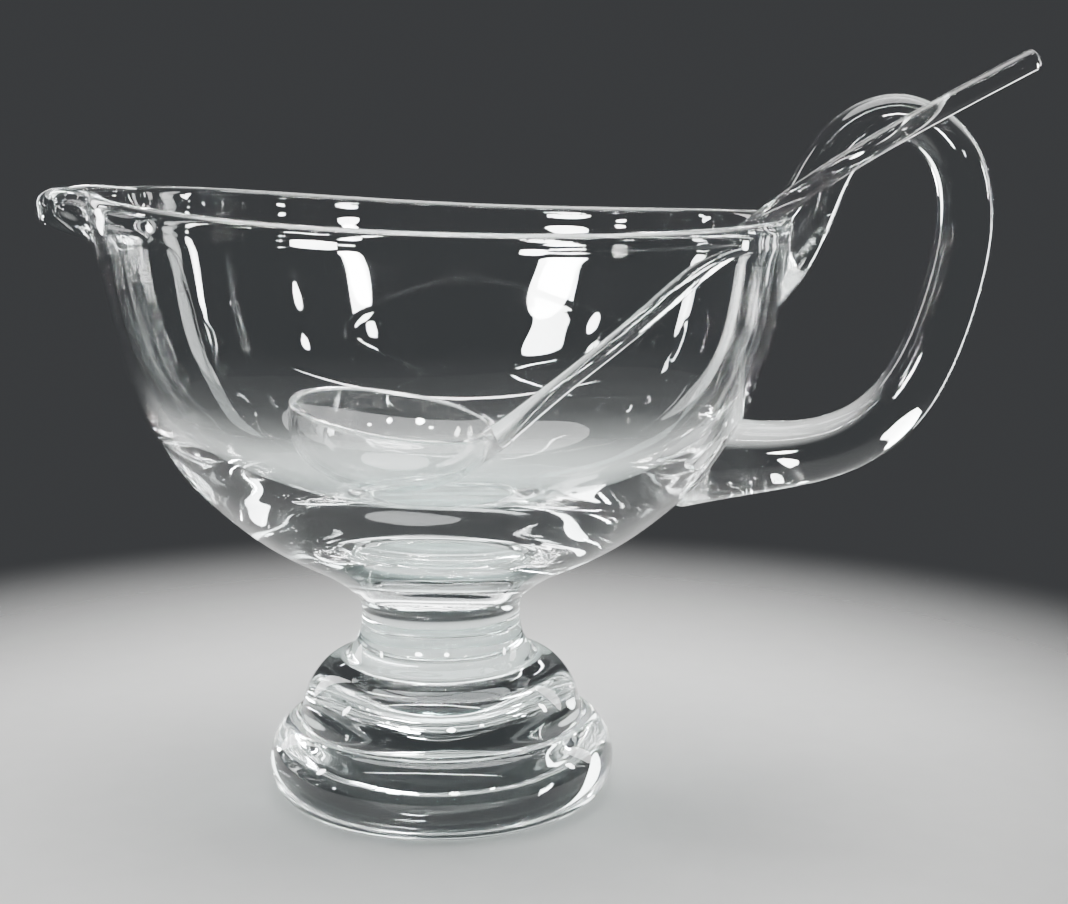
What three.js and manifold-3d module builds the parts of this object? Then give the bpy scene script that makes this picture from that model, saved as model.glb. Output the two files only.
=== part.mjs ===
// Footed glass punch bowl in the form of a large sauce boat, with its glass ladle.
// Millimetres, +Z up. The origin is the centre of the foot's flat underside and +X points to the handle.
import * as THREE from "three";
import { mergeVertices } from "three/addons/utils/BufferGeometryUtils.js";
import Module from "manifold-3d";

// ---- Driving dimensions ------------------------------------------------------------------------
const FOOT_HEIGHT = 49.5; // table to the top of the foot's upper tier
const JOINT_HEIGHT = 74; // table to the underside of the bowl
const JOINT_RADIUS = 31; // where the neck meets the bowl
const RIM_HEIGHT = 207.7; // table to the rim's edges, at the middle of the bowl
const FLOOR_HEIGHT = 98.5; // table to the inside of the bowl's thick bottom
const SPOUT_REACH = 120.6; // foot axis to the rim at the spout end, without the spout itself
const HANDLE_REACH = 125.4; // foot axis to the rim at the handle end
const HALF_WIDTH = 92.5; // foot axis to the rim at the flank
const RIM_WALL = 5.2; // wall thickness at the rim
const LADLE_RADIUS = 38; // outside of the ladle's cup
const LADLE_DEPTH = 36;
const LADLE_WALL = 3;
const ROD_RADIUS = 3.6;
const WELD_GAP = 0.3; // left between two meshes that are fused in the real glass

const AROUND = 76; // facets round the bowl
const wasm = await Module();
wasm.setup();

const { degToRad, lerp, smoothstep } = THREE.MathUtils;
const bell = (v, width) => Math.exp(-(Math.abs(v / width) ** 3));

// ---- Mesh helpers ------------------------------------------------------------------------------
// A closed skin from rings of points, each ring the same length. A ring of one repeated point is a pole.
function skin(rings) {
  const around = rings[0].length;
  const index = [];
  for (let i = 0; i < rings.length - 1; i++) {
    for (let j = 0; j < around; j++) {
      const a = i * around + j;
      const b = i * around + ((j + 1) % around);
      index.push(a, b, b + around, a, b + around, a + around);
    }
  }
  const geometry = new THREE.BufferGeometry().setFromPoints(rings.flat());
  geometry.setIndex(index);
  return geometry;
}

const pole = (point, around) => Array.from({ length: around }, () => point.clone());

// A closed geometry as a manifold-3d solid, and back again.
function solid(geometry) {
  const bare = geometry.clone();
  bare.deleteAttribute("normal");
  bare.deleteAttribute("uv");
  const merged = mergeVertices(bare, 1e-4);
  const vertProperties = new Float32Array(merged.attributes.position.array);
  const triVerts = new Uint32Array(merged.index.array);
  return new wasm.Manifold(new wasm.Mesh({ numProp: 3, vertProperties, triVerts }));
}

function geometryOf(manifold) {
  const mesh = manifold.getMesh();
  const geometry = new THREE.BufferGeometry();
  geometry.setAttribute("position", new THREE.BufferAttribute(mesh.vertProperties, mesh.numProp));
  geometry.setIndex(new THREE.BufferAttribute(mesh.triVerts, 1));
  return geometry;
}

// Points along a smooth line through [a, b] pairs.
function smoothLine(pairs, steps) {
  const line = new THREE.SplineCurve(pairs.map(([a, b]) => new THREE.Vector2(a, b)));
  return line.getPoints(steps).map((p) => [p.x, p.y]);
}

function lathe(profile, sides) {
  const points = profile.map(([r, z]) => new THREE.Vector2(Math.max(r, 0), z));
  return new THREE.LatheGeometry(points, sides).rotateX(Math.PI / 2);
}

// A round bar along [x, z, radius] stations in the XZ plane, with a flat start and a rounded end.
function bar(stations, steps, sides) {
  const path = new THREE.CatmullRomCurve3(
    stations.map(([x, z]) => new THREE.Vector3(x, 0, z)),
    false,
    "centripetal",
  );
  const girth = new THREE.CatmullRomCurve3(
    stations.map(([, , r], i) => new THREE.Vector3(i, r, 0)),
    false,
    "catmullrom",
  );
  const across = new THREE.Vector3(0, 1, 0);
  const rings = [];
  const addRing = (t, share, ahead) => {
    const tangent = path.getTangent(t);
    const normal = tangent.clone().cross(across).normalize();
    const radius = girth.getPoint(t).y;
    const centre = path.getPoint(t).addScaledVector(tangent, ahead * radius);
    const place = (angle) =>
      centre
        .clone()
        .addScaledVector(across, share * radius * Math.cos(angle))
        .addScaledVector(normal, share * radius * Math.sin(angle));
    rings.push(Array.from({ length: sides }, (_, j) => place((2 * Math.PI * j) / sides)));
  };
  for (let i = 0; i <= steps; i++) addRing(i / steps, 1, 0);
  for (const turn of [30, 55, 75].map(degToRad)) addRing(1, Math.cos(turn), 0.6 * Math.sin(turn));
  const tip = path.getPoint(1).addScaledVector(path.getTangent(1), 0.6 * girth.getPoint(1).y);
  return skin([pole(path.getPoint(0), sides), ...rings, pole(tip, sides)]);
}

// ---- Bowl --------------------------------------------------------------------------------------
// Profiles as [share of the full reach, share of the height]: round and full low down, upright at the rim.
const OUTSIDE = [
  [0, 0],
  [0.1, 0.05],
  [0.245, 0.1],
  [0.4, 0.16],
  [0.55, 0.24],
  [0.667, 0.32],
  [0.765, 0.42],
  [0.858, 0.55],
  [0.922, 0.7],
  [0.968, 0.85],
  [1, 1],
];
const INSIDE = [
  [0, 0],
  [0.18, 0.009],
  [0.35, 0.034],
  [0.5, 0.08],
  [0.64, 0.155],
  [0.75, 0.25],
  [0.845, 0.375],
  [0.918, 0.55],
  [0.966, 0.76],
  [1, 1],
];

// The rim sweeps up a little to the spout.
const rimRise = (x) => -4.7 * (x / HANDLE_REACH) + 5 * (x / HANDLE_REACH) ** 2;

// The pouring lip: the wall's top is drawn out along -X into a channel with a rounded nose.
const LIP = { halfWidth: 16, crest: 2.5, channelDepth: 6, channelHalfWidth: 10 };

function drawLip(point, drawn, reach) {
  const near = bell(point.y, LIP.halfWidth) * drawn;
  const channel = bell(point.y, LIP.channelHalfWidth) * drawn;
  point.x -= reach * near;
  point.z += LIP.crest * near - LIP.channelDepth * channel;
}

// One ring of a wall. The wall starts at height base with radius start and ends inset from the full reach.
function wallRing(wall, [share, u]) {
  const ring = [];
  for (let j = 0; j < AROUND; j++) {
    const even = (2 * Math.PI * j) / AROUND;
    const angle = even + 0.5 * Math.sin(even); // facets crowd together at the lip
    const power = 2 / lerp(2, 2.4, u);
    const c = Math.cos(angle);
    const s = Math.sin(angle);
    const grow = (reach) => lerp(wall.start, reach - wall.inset, share);
    const x = grow(c < 0 ? SPOUT_REACH : HANDLE_REACH) * Math.sign(c) * Math.abs(c) ** power;
    const y = grow(HALF_WIDTH) * Math.sign(s) * Math.abs(s) ** power;
    const z = wall.base + (RIM_HEIGHT - wall.base) * u + rimRise(x) * u * u;
    const point = new THREE.Vector3(x, y, z);
    if (c < 0) drawLip(point, smoothstep(u, wall.lipFrom, wall.lipTo), wall.lipReach);
    ring.push(point);
  }
  return ring;
}

const outerWall = {
  base: JOINT_HEIGHT,
  start: JOINT_RADIUS,
  inset: 0,
  lipReach: 25,
  lipFrom: 0.86,
  lipTo: 0.97,
};
const innerWall = {
  base: FLOOR_HEIGHT,
  start: 0,
  inset: RIM_WALL,
  lipReach: 22.5,
  lipFrom: 0.9,
  lipTo: 1,
};

// Rings up a wall: the body's profile, and closer ones through the lip.
function wallRings(wall, profile, bodyRows, lipRows) {
  const fine = smoothLine(profile, 400);
  const at = (u) => fine.find(([, v]) => v >= u - 1e-9);
  const rings = [];
  for (let i = 1; i < bodyRows; i++) rings.push(wallRing(wall, at(0.85 * (i / bodyRows) ** 1.5)));
  for (let i = 0; i <= lipRows; i++) rings.push(wallRing(wall, at(0.85 + (0.15 * i) / lipRows)));
  return rings;
}

// The rounded rim, from the outer edge over to the inner edge.
function rimRings(outer, inner, turns) {
  return turns.map(degToRad).map((turn) =>
    outer.map((edge, j) => {
      const middle = edge.clone().lerp(inner[j], 0.5);
      const half = edge.clone().sub(middle);
      const lift = new THREE.Vector3(0, 0, half.length() * Math.sin(turn));
      return middle.addScaledVector(half, Math.cos(turn)).add(lift);
    }),
  );
}

function bowlGeometry() {
  const outer = [wallRing(outerWall, [0, 0]), ...wallRings(outerWall, OUTSIDE, 8, 6)];
  const inner = wallRings(innerWall, INSIDE, 8, 4).reverse();
  return skin([
    pole(new THREE.Vector3(0, 0, JOINT_HEIGHT), AROUND),
    ...outer,
    ...rimRings(outer.at(-1), inner[0], [45, 90, 135]),
    ...inner,
    pole(new THREE.Vector3(0, 0, FLOOR_HEIGHT), AROUND),
  ]);
}

// The bowl's outside as a plug, grown by the weld gap, to cut the handle's ends to the wall.
function bowlPlug() {
  const grown = { ...outerWall, inset: -WELD_GAP };
  const outer = [wallRing(grown, [0, 0]), ...wallRings(grown, OUTSIDE, 8, 6)];
  const inner = wallRings(innerWall, INSIDE, 8, 4).at(-1);
  return skin([
    pole(new THREE.Vector3(0, 0, JOINT_HEIGHT), AROUND),
    ...outer,
    ...rimRings(outer.at(-1), inner, [45, 90]),
    pole(new THREE.Vector3(0, 0, RIM_HEIGHT + 2), AROUND),
  ]);
}

// ---- Stem and foot -----------------------------------------------------------------------------
// Both are turned outlines of [radius, height]. The neck is waisted and flares to a sharp collar edge.
const NECK = [
  [35.6, FOOT_HEIGHT],
  [31.6, 54],
  [29.6, 59.5],
  [29, 65],
  [29.6, 70],
  [JOINT_RADIUS, JOINT_HEIGHT],
];

function stemGeometry() {
  return lathe([[0, FOOT_HEIGHT], ...smoothLine(NECK, 8), [0, JOINT_HEIGHT]], 48);
}

// A rounded bulge on a flat ground base carries a low dome, with a crease between the two.
const LOWER_TIER = [
  [58, 0],
  [60.6, 2.2],
  [62.9, 7],
  [63.5, 12.5],
  [62.2, 18.5],
  [58.6, 24],
  [54.4, 26.9],
  [52, 26.4],
];
const UPPER_TIER = [
  [51.8, 27.3],
  [51.2, 32],
  [49.4, 38],
  [46, 43.5],
  [41.5, 47.6],
  [36.6, FOOT_HEIGHT],
];

function footGeometry() {
  const outline = [...smoothLine(LOWER_TIER, 10), ...smoothLine(UPPER_TIER, 6)];
  return lathe([[0, 0], ...outline, [0, FOOT_HEIGHT]], 52);
}

// ---- Handle ------------------------------------------------------------------------------------
// Stations of [x, z, radius] from inside the rim, over the loop and round to inside the lower weld.
const HANDLE = [
  [112, 184, 9.6],
  [120, 194.5, 10.3],
  [127.3, 208, 10],
  [134, 223, 9.1],
  [142, 236, 8.4],
  [151.5, 243.2, 7.8],
  [161.5, 244.6, 7.5],
  [171.5, 240, 8],
  [179.6, 230, 8.8],
  [183.4, 214.5, 9.3],
  [182.5, 198, 9.5],
  [178.8, 181, 9.7],
  [173.2, 164.2, 9.9],
  [165, 148.8, 10.2],
  [154, 137.4, 10.5],
  [139, 129.8, 11],
  [122, 126.4, 12.2],
  [106, 125.4, 14.5],
  [88, 125.2, 18],
];

function handleGeometry() {
  return geometryOf(solid(bar(HANDLE, 36, 16)).subtract(solid(bowlPlug())));
}

// ---- Ladle -------------------------------------------------------------------------------------
// Made with its rod in the XZ plane and its cup about the Z axis, then set in the bowl.
const LADLE_PLACE = { x: -21, y: -8, turn: degToRad(-4.2) };
const CUP_LEAN = degToRad(10);
const CUP_BASE = 101.6; // height of the cup's underside on its own axis

// A cup's outline from its underside (turn 0) to its edge (turn 90).
function cupOutline(radius, depth, base, turns) {
  return turns
    .map(degToRad)
    .map((turn) => [radius * Math.sin(turn) ** 0.9, base + depth * (1 - Math.cos(turn))]);
}

const CUP_TURNS = [0, 10, 22, 34, 46, 58, 70, 81, 90];
const placeCup = (geometry) => geometry.rotateY(CUP_LEAN).translate(0, 0, CUP_BASE);

function cupGeometry() {
  const outside = cupOutline(LADLE_RADIUS, LADLE_DEPTH, 0, CUP_TURNS);
  const bore = LADLE_RADIUS - LADLE_WALL;
  const inside = cupOutline(bore, LADLE_DEPTH - LADLE_WALL, LADLE_WALL, CUP_TURNS).reverse();
  const edge = [
    [LADLE_RADIUS - 0.45, LADLE_DEPTH + 1.1],
    [LADLE_RADIUS - LADLE_WALL / 2, LADLE_DEPTH + 1.5],
    [bore + 0.45, LADLE_DEPTH + 1.1],
  ];
  return placeCup(lathe([...outside, ...edge, ...inside], 36));
}

// The cup's outside as a plug, grown by the weld gap, to cut the rod's foot to the cup.
function cupPlug() {
  const grown = cupOutline(LADLE_RADIUS + WELD_GAP, LADLE_DEPTH, -WELD_GAP, CUP_TURNS);
  const top = LADLE_DEPTH + 1.5 + WELD_GAP;
  return placeCup(lathe([...grown, [LADLE_RADIUS + WELD_GAP, top], [0, top]], 36));
}

// Stations of [x, z, radius]: a flared root on the cup, then a long easy bow out over the rim.
const ROD = [
  [35, 122, 6],
  [42.5, 128.8, 5.4],
  [50, 135.4, 4.5],
  [59, 143.6, 3.9],
  [80, 162.6, ROD_RADIUS],
  [114.5, 192.9, ROD_RADIUS],
  [147.7, 219.4, ROD_RADIUS],
  [180.2, 240, ROD_RADIUS],
  [222, 263, ROD_RADIUS],
];

function rodGeometry() {
  return geometryOf(solid(bar(ROD, 28, 12)).subtract(solid(cupPlug())));
}

// ---- Assembly ----------------------------------------------------------------------------------
function piece(name, geometry) {
  const glass = new THREE.MeshStandardMaterial({ color: 0xdfeeea, roughness: 0.03, metalness: 0 });
  const mesh = new THREE.Mesh(geometry, glass);
  mesh.name = name;
  return mesh;
}

const vessel = new THREE.Group();
vessel.add(piece("bowl", bowlGeometry()));
vessel.add(piece("stem", stemGeometry()));
vessel.add(piece("foot", footGeometry()));
vessel.add(piece("handle", handleGeometry()));

const ladle = new THREE.Group();
ladle.add(piece("ladle_cup", cupGeometry()));
ladle.add(piece("ladle_rod", rodGeometry()));
ladle.position.set(LADLE_PLACE.x, LADLE_PLACE.y, 0);
ladle.rotation.z = LADLE_PLACE.turn;

const punchBowl = new THREE.Group();
punchBowl.add(vessel, ladle);

export default punchBowl;
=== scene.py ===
"""Footed glass punch bowl with its ladle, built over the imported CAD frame. Sizes here are millimetres."""

import math

import bmesh
import bpy
import numpy as np
from mathutils import Matrix, Vector


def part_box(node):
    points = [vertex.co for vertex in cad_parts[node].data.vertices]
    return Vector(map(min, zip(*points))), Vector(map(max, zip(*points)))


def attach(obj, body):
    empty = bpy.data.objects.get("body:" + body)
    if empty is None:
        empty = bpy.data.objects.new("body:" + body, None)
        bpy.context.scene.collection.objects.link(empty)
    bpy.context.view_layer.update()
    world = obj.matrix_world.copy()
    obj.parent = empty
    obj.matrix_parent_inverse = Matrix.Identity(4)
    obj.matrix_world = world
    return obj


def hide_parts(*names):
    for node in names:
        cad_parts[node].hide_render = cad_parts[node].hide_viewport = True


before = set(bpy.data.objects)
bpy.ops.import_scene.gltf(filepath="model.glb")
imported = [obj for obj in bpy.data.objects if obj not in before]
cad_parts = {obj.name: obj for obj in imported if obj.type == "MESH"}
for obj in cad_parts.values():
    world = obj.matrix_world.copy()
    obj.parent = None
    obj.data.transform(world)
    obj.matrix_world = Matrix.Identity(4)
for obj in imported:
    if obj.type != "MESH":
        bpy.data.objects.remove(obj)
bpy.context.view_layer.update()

MM = 0.001


def top_of(node):
    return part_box(node)[1][2] / MM


# ---- Driving dimensions, millimetres ----------------------------------------------------------
FOOT_HEIGHT = top_of("foot")
JOINT_HEIGHT = top_of("stem")
JOINT_RADIUS = 31.0
RIM_HEIGHT = 207.7
FLOOR_HEIGHT = 98.5
SPOUT_REACH = 120.6
HANDLE_REACH = 125.4
HALF_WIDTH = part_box("bowl")[1][1] / MM
RIM_WALL = 4.6  # the wall just under the rim's bead
RIM_BEAD = 0.9  # how far the bead swells inwards
LADLE_RADIUS = 38.0
LADLE_DEPTH = 36.0
LADLE_WALL = 3.0
ROD_RADIUS = 3.6
WALL_CORE = 2.4  # how far inside the outer skin a fused-on piece reaches before it is trimmed
TINT_DEPTH = 60.0  # the run inside the glass over which its full tint builds up

FLOOR_FULL = 150.0  # the floor is solid out to here and has thinned away at FLOOR_END
FLOOR_END = 430.0
FLOOR_DROP = 0.15

CAMERA_LENS = 62.4
CAMERA_SPOT = (103.0, -652.8, 245.0)
CAMERA_PITCH = 10.3  # degrees down from level
CAMERA_TURN = 6.0  # degrees to the left of +Y

AROUND = 240  # facets round the bowl

SEW = 1e-6  # metres: cut edges closer than this are sewn
SNAP = 0.05  # points this near a joint's disc are on it
CREASE = math.radians(35)  # edges sharper than this stay sharp
BOUNCES = 64

GLASS = 0  # material slot of a piece's own surface
WELD = 1  # material slot of the face it shares with the piece it is fused to

GLASS_IOR = 1.51
MAX_HAZE = 0.05  # roughness of the dullest patches
HAZE_SIZE = 22.0
THICK_TINT = (0.42, 0.82, 0.77)  # the bowl's blue-green, seen where light runs along its wall
PALE_TINT = (0.78, 0.92, 0.90)
LADLE_TINT = (0.88, 0.95, 0.94)


# ---- Curves -----------------------------------------------------------------------------------
def spline(points, count):
    """Count points on a natural cubic spline, evenly spaced along their first two coordinates."""
    p = np.array(points, float)
    step = np.linalg.norm(np.diff(p, axis=0), axis=1) ** 0.75
    knots = np.concatenate([[0.0], np.cumsum(step)])
    size = len(p)
    system = np.eye(size)
    right = np.zeros_like(p)
    for i in range(1, size - 1):
        before, after = step[i - 1], step[i]
        system[i, i - 1 : i + 2] = before, 2 * (before + after), after
        right[i] = 6 * ((p[i + 1] - p[i]) / after - (p[i] - p[i - 1]) / before)
    bend = np.linalg.solve(system, right)

    def at(t):
        i = np.clip(np.searchsorted(knots, t, side="right") - 1, 0, size - 2)
        width = step[i][:, None]
        a = (knots[i + 1] - t)[:, None] / width
        b = 1 - a
        curve = (a**3 - a) * bend[i] + (b**3 - b) * bend[i + 1]
        return a * p[i] + b * p[i + 1] + curve * width**2 / 6

    fine = at(np.linspace(0, knots[-1], 2000))
    run = np.concatenate([[0], np.cumsum(np.linalg.norm(np.diff(fine[:, :2], axis=0), axis=1))])
    even = np.linspace(0, run[-1], count)
    return np.stack([np.interp(even, run, fine[:, k]) for k in range(p.shape[1])], axis=1)


def smoothstep(low, high, v):
    t = np.clip((v - low) / (high - low), 0, 1)
    return t * t * (3 - 2 * t)


def bell(v, width):
    """1 in the middle, falling off at about width on either side."""
    return np.exp(-np.abs(v / width) ** 3)


# ---- Mesh helpers -----------------------------------------------------------------------------
def mesh_piece(name, points, faces):
    """A new object. points are in millimetres."""
    mesh = bpy.data.meshes.new(name)
    mesh.from_pydata([tuple(p) for p in np.asarray(points) * MM], [], faces)
    mesh.update()
    piece = bpy.data.objects.new(name, mesh)
    bpy.context.scene.collection.objects.link(piece)
    return piece


def skin(name, rings, start, end):
    """A closed skin over rings of points. start and end are the middles of its two closing discs."""
    around = len(rings[0])
    points = [p for ring in rings for p in ring] + [start, end]
    faces = []
    turn = [(j, (j + 1) % around) for j in range(around)]
    for i in range(len(rings) - 1):
        low, high = i * around, (i + 1) * around
        faces += [(low + a, low + b, high + b, high + a) for a, b in turn]
    first, last = len(points) - 2, len(points) - 1
    top = (len(rings) - 1) * around
    faces += [(first, b, a) for a, b in turn]
    faces += [(last, top + a, top + b) for a, b in turn]
    return mesh_piece(name, points, faces)


def lathe(name, profile, around=160):
    """A turned solid from [radius, height] points, closed by a disc at each end."""
    angles = np.arange(around) * 2 * math.pi / around
    circle = np.stack([np.cos(angles), np.sin(angles)], axis=1)
    rings = [np.column_stack([circle * r, np.full(around, z)]) for r, z in profile]
    return skin(name, rings, (0, 0, profile[0][1]), (0, 0, profile[-1][1]))


def bar(name, stations, count, sides):
    """A round bar along [x, z, radius] stations in the XZ plane, with a flat start and a rounded end."""
    line = spline(stations, count)
    heading = np.gradient(line[:, :2], axis=0)
    heading /= np.linalg.norm(heading, axis=1)[:, None]
    angles = np.arange(sides) * 2 * math.pi / sides
    rings = []

    def add_ring(i, share, ahead):
        x, z, radius = line[i]
        along = np.array([heading[i][0], 0, heading[i][1]])
        normal = np.array([-along[2], 0, along[0]])
        centre = np.array([x, 0, z]) + along * ahead * radius
        across = np.outer(np.cos(angles), (0, 1, 0)) + np.outer(np.sin(angles), normal)
        rings.append(centre + across * share * radius)

    for i in range(count):
        add_ring(i, 1, 0)
    for turn in np.radians(np.arange(8, 90, 8)):
        add_ring(count - 1, math.cos(turn), 0.6 * math.sin(turn))
    return skin(name, rings, rings[0].mean(axis=0), rings[-1].mean(axis=0))


def boolean(piece, tool, operation):
    """The mesh of piece cut by or joined to tool. Faces keep the material of the object they came from."""
    cut = piece.modifiers.new("cut", "BOOLEAN")
    cut.operation = operation
    cut.object = tool
    cut.solver = "EXACT"
    cut.material_mode = "TRANSFER"
    shown = piece.evaluated_get(bpy.context.evaluated_depsgraph_get())
    mesh = bpy.data.meshes.new_from_object(shown)
    piece.modifiers.remove(cut)
    return mesh


def mark_joint(piece, height, radius):
    """The flat disc at that height is shared with the piece above or below."""
    for face in piece.data.polygons:
        corners = [piece.data.vertices[i].co / MM for i in face.vertices]
        if all(abs(c.z - height) < SNAP and c.xy.length < radius + SNAP for c in corners):
            face.material_index = WELD


def faces_of(mesh, marker):
    """The polygons of a cut mesh that came from the object with that marker material."""
    return [face for face in mesh.polygons if mesh.materials[face.material_index] == marker]


def gather(piece, *parts):
    """Gives piece a mesh of parts (source mesh, faces, material slot, flipped), sewn where they meet."""
    work = bmesh.new()
    for source, faces, slot, flipped in parts:
        used = sorted({i for face in faces for i in face.vertices})
        corner = {i: work.verts.new(source.vertices[i].co) for i in used}
        for face in faces:
            corners = [corner[i] for i in face.vertices]
            new = work.faces.new(reversed(corners) if flipped else corners)
            new.material_index = slot
            new.smooth = True
    bmesh.ops.remove_doubles(work, verts=work.verts, dist=SEW)
    mesh = bpy.data.meshes.new(piece.name)
    work.to_mesh(mesh)
    work.free()
    mesh.set_sharp_from_angle(angle=CREASE)
    piece.data = mesh


def fuse(base, part, core):
    """Trims part to the skin of base. The patch where they touch becomes a WELD face of both.
    core is base's inside, so part's end stops within base's wall before the trim."""
    marks = [bpy.data.materials.new(name) for name in ("base", "part", "core")]
    for piece, mark in zip((base, part, core), marks):
        piece.data.materials.append(mark)
    part.data = boolean(part, core, "DIFFERENCE")
    joined = boolean(base, part, "UNION")
    trimmed = boolean(part, base, "DIFFERENCE")
    patch = faces_of(trimmed, marks[0])
    own = [face for face in trimmed.polygons if trimmed.materials[face.material_index] != marks[0]]
    gather(base, (joined, faces_of(joined, marks[0]), GLASS, False), (trimmed, patch, WELD, True))
    gather(part, (trimmed, own, GLASS, False), (trimmed, patch, WELD, False))
    bpy.data.objects.remove(core)
    for mark in marks:
        bpy.data.materials.remove(mark)


# ---- Bowl -------------------------------------------------------------------------------------
# Profiles as [share of the full reach, share of the height].
OUTSIDE = [
    (0, 0), (0.1, 0.05), (0.245, 0.1), (0.4, 0.16), (0.55, 0.24), (0.667, 0.32),
    (0.765, 0.42), (0.858, 0.55), (0.922, 0.7), (0.968, 0.85), (1, 1),
]
INSIDE = [
    (0, 0), (0.18, 0.009), (0.35, 0.034), (0.5, 0.08), (0.64, 0.155), (0.75, 0.25),
    (0.845, 0.375), (0.918, 0.55), (0.966, 0.76), (1, 1),
]
LIP_HALF_WIDTH = 16.0
LIP_CREST = 2.5
CHANNEL_DEPTH = 6.0
CHANNEL_HALF_WIDTH = 10.0

OUTER_WALL = {"base": JOINT_HEIGHT, "start": JOINT_RADIUS, "inset": 0, "reach": 25.0, "lip": (0.86, 0.97)}
INNER_WALL = {"base": FLOOR_HEIGHT, "start": 0, "inset": RIM_WALL, "reach": 22.5, "lip": (0.9, 1.0)}


def wall_ring(wall, share, u, inset):
    """A ring of the bowl's wall at height share u: a superellipse, drawn out at -X into the lip."""
    even = np.arange(AROUND) * 2 * math.pi / AROUND
    angle = even + 0.5 * np.sin(even)  # points crowd together at the lip
    power = 2 / (2 + 0.4 * u)
    c, s = np.cos(angle), np.sin(angle)
    reach = np.where(c < 0, SPOUT_REACH, HANDLE_REACH) - inset
    x = (wall["start"] + (reach - wall["start"]) * share) * np.sign(c) * np.abs(c) ** power
    flank = wall["start"] + (HALF_WIDTH - inset - wall["start"]) * share
    y = flank * np.sign(s) * np.abs(s) ** power
    along = x / HANDLE_REACH
    rise = -4.7 * along + 5 * along**2  # the rim sweeps up to the lip
    z = wall["base"] + (RIM_HEIGHT - wall["base"]) * u + rise * u * u
    drawn = np.where(c < 0, smoothstep(*wall["lip"], u), 0)
    near = bell(y, LIP_HALF_WIDTH) * drawn
    channel = bell(y, CHANNEL_HALF_WIDTH) * drawn
    return np.stack([x - wall["reach"] * near, y, z + LIP_CREST * near - CHANNEL_DEPTH * channel], axis=1)


def wall_rings(wall, profile, bead):
    """Rings from the wall's start to its rim edge, close together through the lip."""
    line = spline(profile, 900)
    body = line[line[:, 1] < 0.85][::14]
    heights = np.linspace(0.855, 1, 26)
    lip = np.stack([np.interp(heights, line[:, 1], line[:, 0]), heights], axis=1)
    rings = []
    for share, u in np.concatenate([body, lip]):
        below_rim = (1 - u) * (RIM_HEIGHT - wall["base"])
        rings.append(wall_ring(wall, share, u, wall["inset"] + bead * math.exp(-((below_rim / 4) ** 2))))
    return rings


def rim_rings(outer, inner, turns):
    """Half circles from the outer edge over to the inner edge."""
    middle, half = (outer + inner) / 2, (outer - inner) / 2
    lift = np.outer(np.linalg.norm(half, axis=1), (0, 0, 1))
    return [middle + half * math.cos(turn) + lift * math.sin(turn) for turn in turns]


def build_bowl():
    outer = wall_rings(OUTER_WALL, OUTSIDE, 0)
    inner = wall_rings(INNER_WALL, INSIDE, RIM_BEAD)[1:]
    rim = rim_rings(outer[-1], inner[-1], np.radians(np.arange(12, 180, 12)))
    base, floor = (0, 0, JOINT_HEIGHT), (0, 0, FLOOR_HEIGHT)
    return skin("bowl_glass", outer + rim + inner[::-1], base, floor)


def bowl_core():
    """A solid that fills the bowl out to the middle of its wall and rim."""
    wall = dict(OUTER_WALL, inset=WALL_CORE)
    rings = wall_rings(wall, OUTSIDE, 0)
    return skin("bowl_core", rings, (0, 0, JOINT_HEIGHT + 1), (0, 0, RIM_HEIGHT + 2))


# ---- Stem and foot ----------------------------------------------------------------------------
# Outlines of [radius, height]. The neck is waisted, and the foot is two rounded tiers with a crease.
COLLAR_RADIUS = 35.2
NECK = [
    (COLLAR_RADIUS, FOOT_HEIGHT), (35.6, FOOT_HEIGHT + 0.5), (35.1, FOOT_HEIGHT + 1.3), (33.4, 52.4),
    (31.2, 55.4), (29.7, 59.6), (29, 65), (29.4, 70), (JOINT_RADIUS, JOINT_HEIGHT),
]
LOWER_TIER = [
    (58, 0), (60.6, 2.2), (62.9, 7), (63.5, 12.5), (62.2, 18.5), (58.6, 24), (54.4, 26.9), (52, 26.4),
]
UPPER_TIER = [
    (51.8, 27.3), (51.2, 32), (49.4, 38), (46, 43.5), (41.5, 47.6), (36.6, FOOT_HEIGHT),
]


def build_stem():
    return lathe("stem_glass", spline(NECK, 60))


def build_foot():
    profile = [*spline(LOWER_TIER, 60), *spline(UPPER_TIER, 50), (COLLAR_RADIUS, FOOT_HEIGHT)]
    return lathe("foot_glass", profile)


# ---- Handle -----------------------------------------------------------------------------------
# Stations of [x, z, radius], from inside the rim over the loop to inside the lower weld.
HANDLE = [
    (112, 184, 9.6), (120, 194.5, 10.3), (127.3, 208, 10), (134, 223, 9.1), (142, 236, 8.4),
    (151.5, 243.2, 7.8), (161.5, 244.6, 7.5), (171.5, 240, 8), (179.6, 230, 8.8), (183.4, 214.5, 9.3),
    (182.5, 198, 9.5), (178.8, 181, 9.7), (173.2, 164.2, 9.9), (165, 148.8, 10.2), (154, 137.4, 10.5),
    (139, 129.8, 11), (122, 126.4, 12.2), (106, 125.4, 14.5), (88, 125.2, 18),
]


def build_handle():
    return bar("handle_glass", HANDLE, 220, 56)


# ---- Ladle ------------------------------------------------------------------------------------
LADLE_X, LADLE_Y = -21.0, -8.0
LADLE_TURN = -4.2  # degrees about +Z
CUP_LEAN = 10.0  # degrees
CUP_BASE = 101.6  # height of the cup's underside on its own axis
# Stations of [x, z, radius], from the flared root in the cup's wall out to the tip.
ROD = [
    (35, 122, 6), (42.5, 128.8, 5.4), (50, 135.4, 4.5), (59, 143.6, 3.9), (80, 162.6, ROD_RADIUS),
    (114.5, 192.9, ROD_RADIUS), (147.7, 219.4, ROD_RADIUS), (180.2, 240, ROD_RADIUS),
    (221.8, 262.9, ROD_RADIUS),
]


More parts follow.
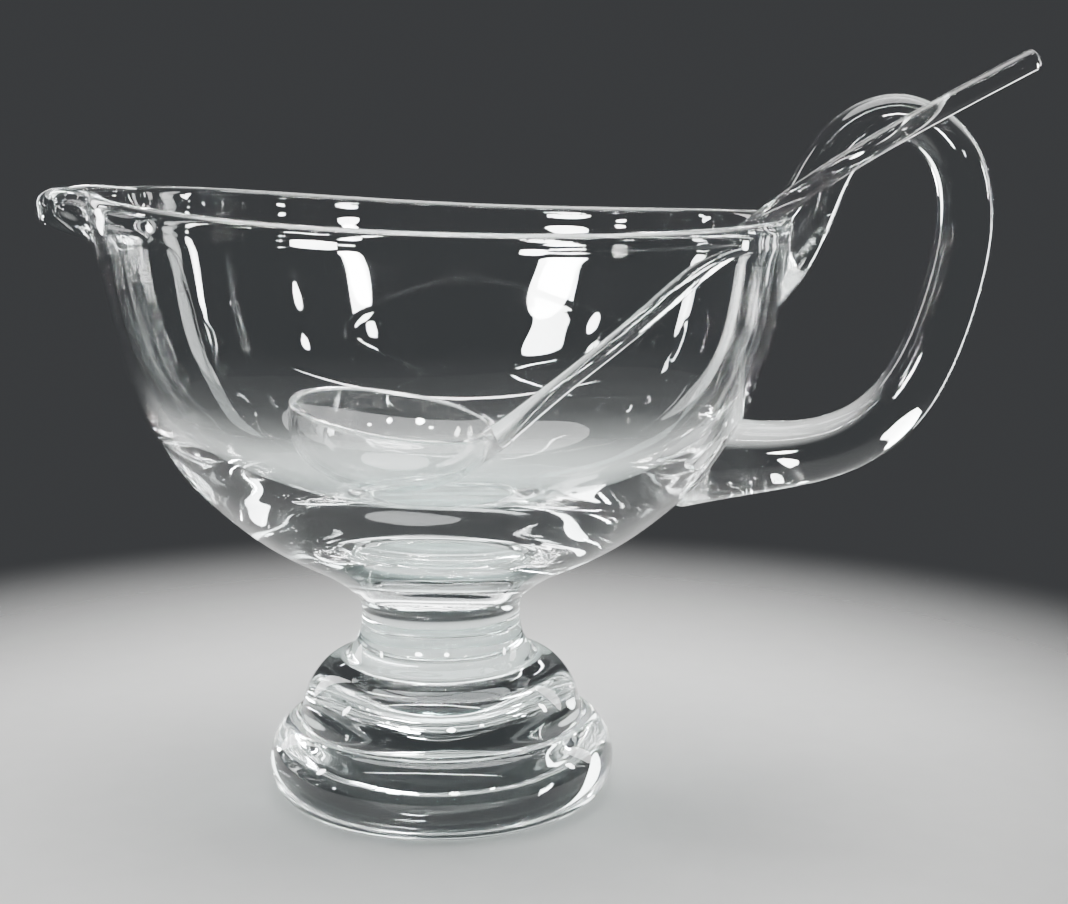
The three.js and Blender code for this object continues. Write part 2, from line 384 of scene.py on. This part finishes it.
def cup_outline(inset, turns):
    """The cup's section from its underside (turn 0) to its edge (turn 90), that far inside its skin."""
    turns = np.radians(turns)
    radius = (LADLE_RADIUS - inset) * np.sin(turns) ** 0.9
    return np.stack([radius, inset + (LADLE_DEPTH - inset) * (1 - np.cos(turns))], axis=1)


def place_ladle(piece):
    """Sets a part of the ladle, made about the Z axis, where the ladle lies in the bowl."""
    move = Matrix.Translation(Vector((LADLE_X, LADLE_Y, 0)) * MM)
    piece.data.transform(move @ Matrix.Rotation(math.radians(LADLE_TURN), 4, "Z"))
    return piece


def place_cup(piece):
    """Leans the cup towards its rod and lifts it to the bowl's floor."""
    lift = Matrix.Translation((0, 0, CUP_BASE * MM))
    piece.data.transform(lift @ Matrix.Rotation(math.radians(CUP_LEAN), 4, "Y"))
    return place_ladle(piece)


def build_cup():
    turns = np.linspace(2, 90, 60)
    outside, inside = cup_outline(0, turns), cup_outline(LADLE_WALL, turns)
    edge = LADLE_RADIUS - LADLE_WALL / 2
    lip = [(edge + LADLE_WALL / 2 * math.cos(a), LADLE_DEPTH + LADLE_WALL / 2 * math.sin(a))
           for a in np.radians(np.arange(15, 180, 15))]
    return place_cup(lathe("ladle_cup_glass", [*outside, *lip, *inside[::-1]]))


def cup_core():
    """A solid that fills the cup out to the middle of its wall."""
    outline = cup_outline(LADLE_WALL / 2, np.linspace(4, 90, 40))
    top = (LADLE_RADIUS - LADLE_WALL / 2, LADLE_DEPTH + 0.5)
    return place_cup(lathe("cup_core", [*outline, top]))


def build_rod():
    return place_ladle(bar("ladle_rod_glass", ROD, 200, 40))


# ---- Materials --------------------------------------------------------------------------------
def node_tree(name):
    """A new material with its nodes and links."""
    material = bpy.data.materials.new(name)
    material.use_nodes = True
    return material, material.node_tree.nodes, material.node_tree.links


def glass_material(name, tint, waviness, wave_size):
    """Clear glass, tinted by how far light has run inside it, with a fire-polished, slightly wavy skin."""
    material, nodes, links = node_tree(name)
    shader = nodes["Principled BSDF"]
    shader.inputs["Transmission Weight"].default_value = 1
    shader.inputs["IOR"].default_value = GLASS_IOR

    path = nodes.new("ShaderNodeLightPath")
    face = nodes.new("ShaderNodeNewGeometry")
    depth = nodes.new("ShaderNodeMapRange")
    depth.inputs["From Max"].default_value = TINT_DEPTH * MM
    inside = nodes.new("ShaderNodeMath")
    inside.operation = "MULTIPLY"
    colour = nodes.new("ShaderNodeMix")
    colour.data_type = "RGBA"
    colour.inputs["A"].default_value = (1, 1, 1, 1)
    colour.inputs["B"].default_value = (*tint, 1)
    links.new(path.outputs["Ray Length"], depth.inputs["Value"])
    links.new(depth.outputs["Result"], inside.inputs[0])
    links.new(face.outputs["Backfacing"], inside.inputs[1])
    links.new(inside.outputs[0], colour.inputs["Factor"])
    links.new(colour.outputs["Result"], shader.inputs["Base Color"])

    place_on = nodes.new("ShaderNodeTexCoord")
    waves = nodes.new("ShaderNodeTexNoise")
    waves.inputs["Scale"].default_value = 1 / (wave_size * MM)
    waves.inputs["Detail"].default_value = 1.5
    bump = nodes.new("ShaderNodeBump")
    bump.inputs["Strength"].default_value = 1
    bump.inputs["Distance"].default_value = waviness * MM
    haze = nodes.new("ShaderNodeTexNoise")
    haze.inputs["Scale"].default_value = 1 / (HAZE_SIZE * MM)
    haze.inputs["Detail"].default_value = 6
    polish = nodes.new("ShaderNodeMapRange")
    polish.inputs["From Min"].default_value = 0.45
    polish.inputs["From Max"].default_value = 0.8
    polish.inputs["To Max"].default_value = MAX_HAZE
    links.new(place_on.outputs["Object"], waves.inputs["Vector"])
    links.new(place_on.outputs["Object"], haze.inputs["Vector"])
    links.new(waves.outputs["Fac"], bump.inputs["Height"])
    links.new(bump.outputs["Normal"], shader.inputs["Normal"])
    links.new(haze.outputs["Fac"], polish.inputs["Value"])
    links.new(polish.outputs["Result"], shader.inputs["Roughness"])
    return material


def fused_material():
    """The face between two fused pieces: one glass runs on into the other, so nothing shows there."""
    material, nodes, links = node_tree("fused_joint")
    clear = nodes.new("ShaderNodeBsdfTransparent")
    links.new(clear.outputs[0], nodes["Material Output"].inputs["Surface"])
    return material


def floor_material():
    """Pale and matt, with a faint grain. It thins out with distance, so the floor has no hard edge."""
    material, nodes, links = node_tree("pale_floor")
    shader = nodes["Principled BSDF"]
    shader.inputs["Roughness"].default_value = 0.7
    grain = nodes.new("ShaderNodeTexNoise")
    grain.inputs["Scale"].default_value = 60
    shade = nodes.new("ShaderNodeMix")
    shade.data_type = "RGBA"
    shade.inputs["A"].default_value = (0.70, 0.70, 0.69, 1)
    shade.inputs["B"].default_value = (0.75, 0.75, 0.74, 1)
    links.new(grain.outputs["Fac"], shade.inputs["Factor"])
    links.new(shade.outputs["Result"], shader.inputs["Base Color"])

    place_on = nodes.new("ShaderNodeTexCoord")
    distance = nodes.new("ShaderNodeVectorMath")
    distance.operation = "LENGTH"
    thin = nodes.new("ShaderNodeMapRange")
    thin.interpolation_type = "SMOOTHSTEP"
    thin.inputs["From Min"].default_value = FLOOR_FULL * MM
    thin.inputs["From Max"].default_value = FLOOR_END * MM
    clear = nodes.new("ShaderNodeBsdfTransparent")
    fade = nodes.new("ShaderNodeMixShader")
    links.new(place_on.outputs["Object"], distance.inputs[0])
    links.new(distance.outputs["Value"], thin.inputs["Value"])
    links.new(thin.outputs["Result"], fade.inputs["Fac"])
    links.new(shader.outputs["BSDF"], fade.inputs[1])
    links.new(clear.outputs["BSDF"], fade.inputs[2])
    links.new(fade.outputs["Shader"], nodes["Material Output"].inputs["Surface"])
    return material


def finish_piece(piece, glass, fused, body, node):
    """Gives a piece its two materials, ties it to its body and hides its CAD node."""
    piece.data.materials.append(glass)
    piece.data.materials.append(fused)
    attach(piece, body)
    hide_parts(node)


# ---- The object -------------------------------------------------------------------------------
def build_vessel():
    """The bowl with its handle fused on, and the stem and foot below it."""
    bowl, handle = build_bowl(), build_handle()
    fuse(bowl, handle, bowl_core())
    stem, foot = build_stem(), build_foot()
    for piece in (stem, foot):
        piece.data.shade_smooth()
        piece.data.set_sharp_from_angle(angle=CREASE)
    for piece in (bowl, stem):
        mark_joint(piece, JOINT_HEIGHT, JOINT_RADIUS)
    for piece in (stem, foot):
        mark_joint(piece, FOOT_HEIGHT, COLLAR_RADIUS)
    return bowl, stem, foot, handle


def build_ladle():
    cup, rod = build_cup(), build_rod()
    fuse(cup, rod, cup_core())
    return cup, rod


def build_object():
    bowl, stem, foot, handle = build_vessel()
    cup, rod = build_ladle()
    fused = fused_material()
    bowl_glass = glass_material("bowl_glass", THICK_TINT, 0.03, 30)
    foot_glass = glass_material("foot_glass", PALE_TINT, 0.04, 14)
    handle_glass = glass_material("handle_glass", PALE_TINT, 0.05, 12)
    ladle_glass = glass_material("ladle_glass", LADLE_TINT, 0.02, 9)
    finish_piece(bowl, bowl_glass, fused, "bowl", "bowl")
    finish_piece(stem, foot_glass, fused, "bowl", "stem")
    finish_piece(foot, foot_glass, fused, "bowl", "foot")
    finish_piece(handle, handle_glass, fused, "bowl", "handle")
    finish_piece(cup, ladle_glass, fused, "ladle", "ladle_cup")
    finish_piece(rod, ladle_glass, fused, "ladle", "ladle_rod")


# ---- Room, light and camera -------------------------------------------------------------------
def build_floor():
    """The floor lies a hair below the foot, so light gets in between them."""
    far, low = FLOOR_END, -FLOOR_DROP
    corners = [(-far, -far, low), (far, -far, low), (far, far, low), (-far, far, low)]
    floor = mesh_piece("floor", corners, [(0, 1, 2, 3)])
    floor.data.materials.append(floor_material())


def softbox(name, spot, size, power, lights_floor=False):
    """An oval soft lamp at spot (metres), turned to the object. Most only make glints in the glass."""
    light = bpy.data.lights.new(name, "AREA")
    light.shape = "ELLIPSE"
    light.size, light.size_y = size
    light.energy = power
    lamp = bpy.data.objects.new(name, light)
    lamp.location = spot
    lamp.rotation_euler = (Vector((0, 0, 0.15)) - Vector(spot)).to_track_quat("-Z", "Y").to_euler()
    lamp.visible_diffuse = lights_floor
    bpy.context.scene.collection.objects.link(lamp)


def build_lights():
    world = bpy.data.worlds.new("studio")
    world.use_nodes = True
    world.node_tree.nodes["Background"].inputs["Color"].default_value = (0.05, 0.052, 0.055, 1)
    bpy.context.scene.world = world
    softbox("overhead", (0, 0.2, 1.8), (2.0, 1.4), 66, lights_floor=True)
    softbox("left_window", (-0.50, -1.2, 0.50), (0.24, 0.22), 30)
    softbox("right_window", (0.35, -1.2, 0.51), (0.15, 0.18), 16)
    softbox("left_lamp", (-0.95, -1.2, 0.76), (0.1, 0.12), 6)
    softbox("right_lamp", (1.1, -1.2, 0.76), (0.1, 0.12), 6)
    softbox("left_side", (-1.2, -0.2, 0.5), (0.1, 0.3), 8)
    softbox("right_side", (1.2, 0.3, 0.42), (0.1, 0.3), 8)
    softbox("left_back", (-0.95, 0.7, 0.5), (0.28, 0.9), 6)
    softbox("right_back", (1.15, 0.7, 0.5), (0.28, 0.9), 6)
    softbox("ceiling_strip", (0, -0.55, 1.1), (1.8, 0.03), 14)


def build_camera():
    lens = bpy.data.cameras.new("camera")
    lens.sensor_width = 36
    lens.lens = CAMERA_LENS
    camera = bpy.data.objects.new("camera", lens)
    camera.location = Vector(CAMERA_SPOT) * MM
    camera.rotation_euler = (math.radians(90 - CAMERA_PITCH), 0, math.radians(CAMERA_TURN))
    bpy.context.scene.collection.objects.link(camera)
    bpy.context.scene.camera = camera


build_object()
build_floor()
build_lights()
build_camera()

# Light runs on inside thick glass by many total reflections, so it gets many bounces, and the few
# samples that find a lamp keep their full strength.
paths = bpy.context.scene.cycles
paths.sample_clamp_indirect = 0
paths.max_bounces = BOUNCES
paths.glossy_bounces = BOUNCES
paths.transmission_bounces = BOUNCES
paths.transparent_max_bounces = BOUNCES

bpy.context.view_layer.update()
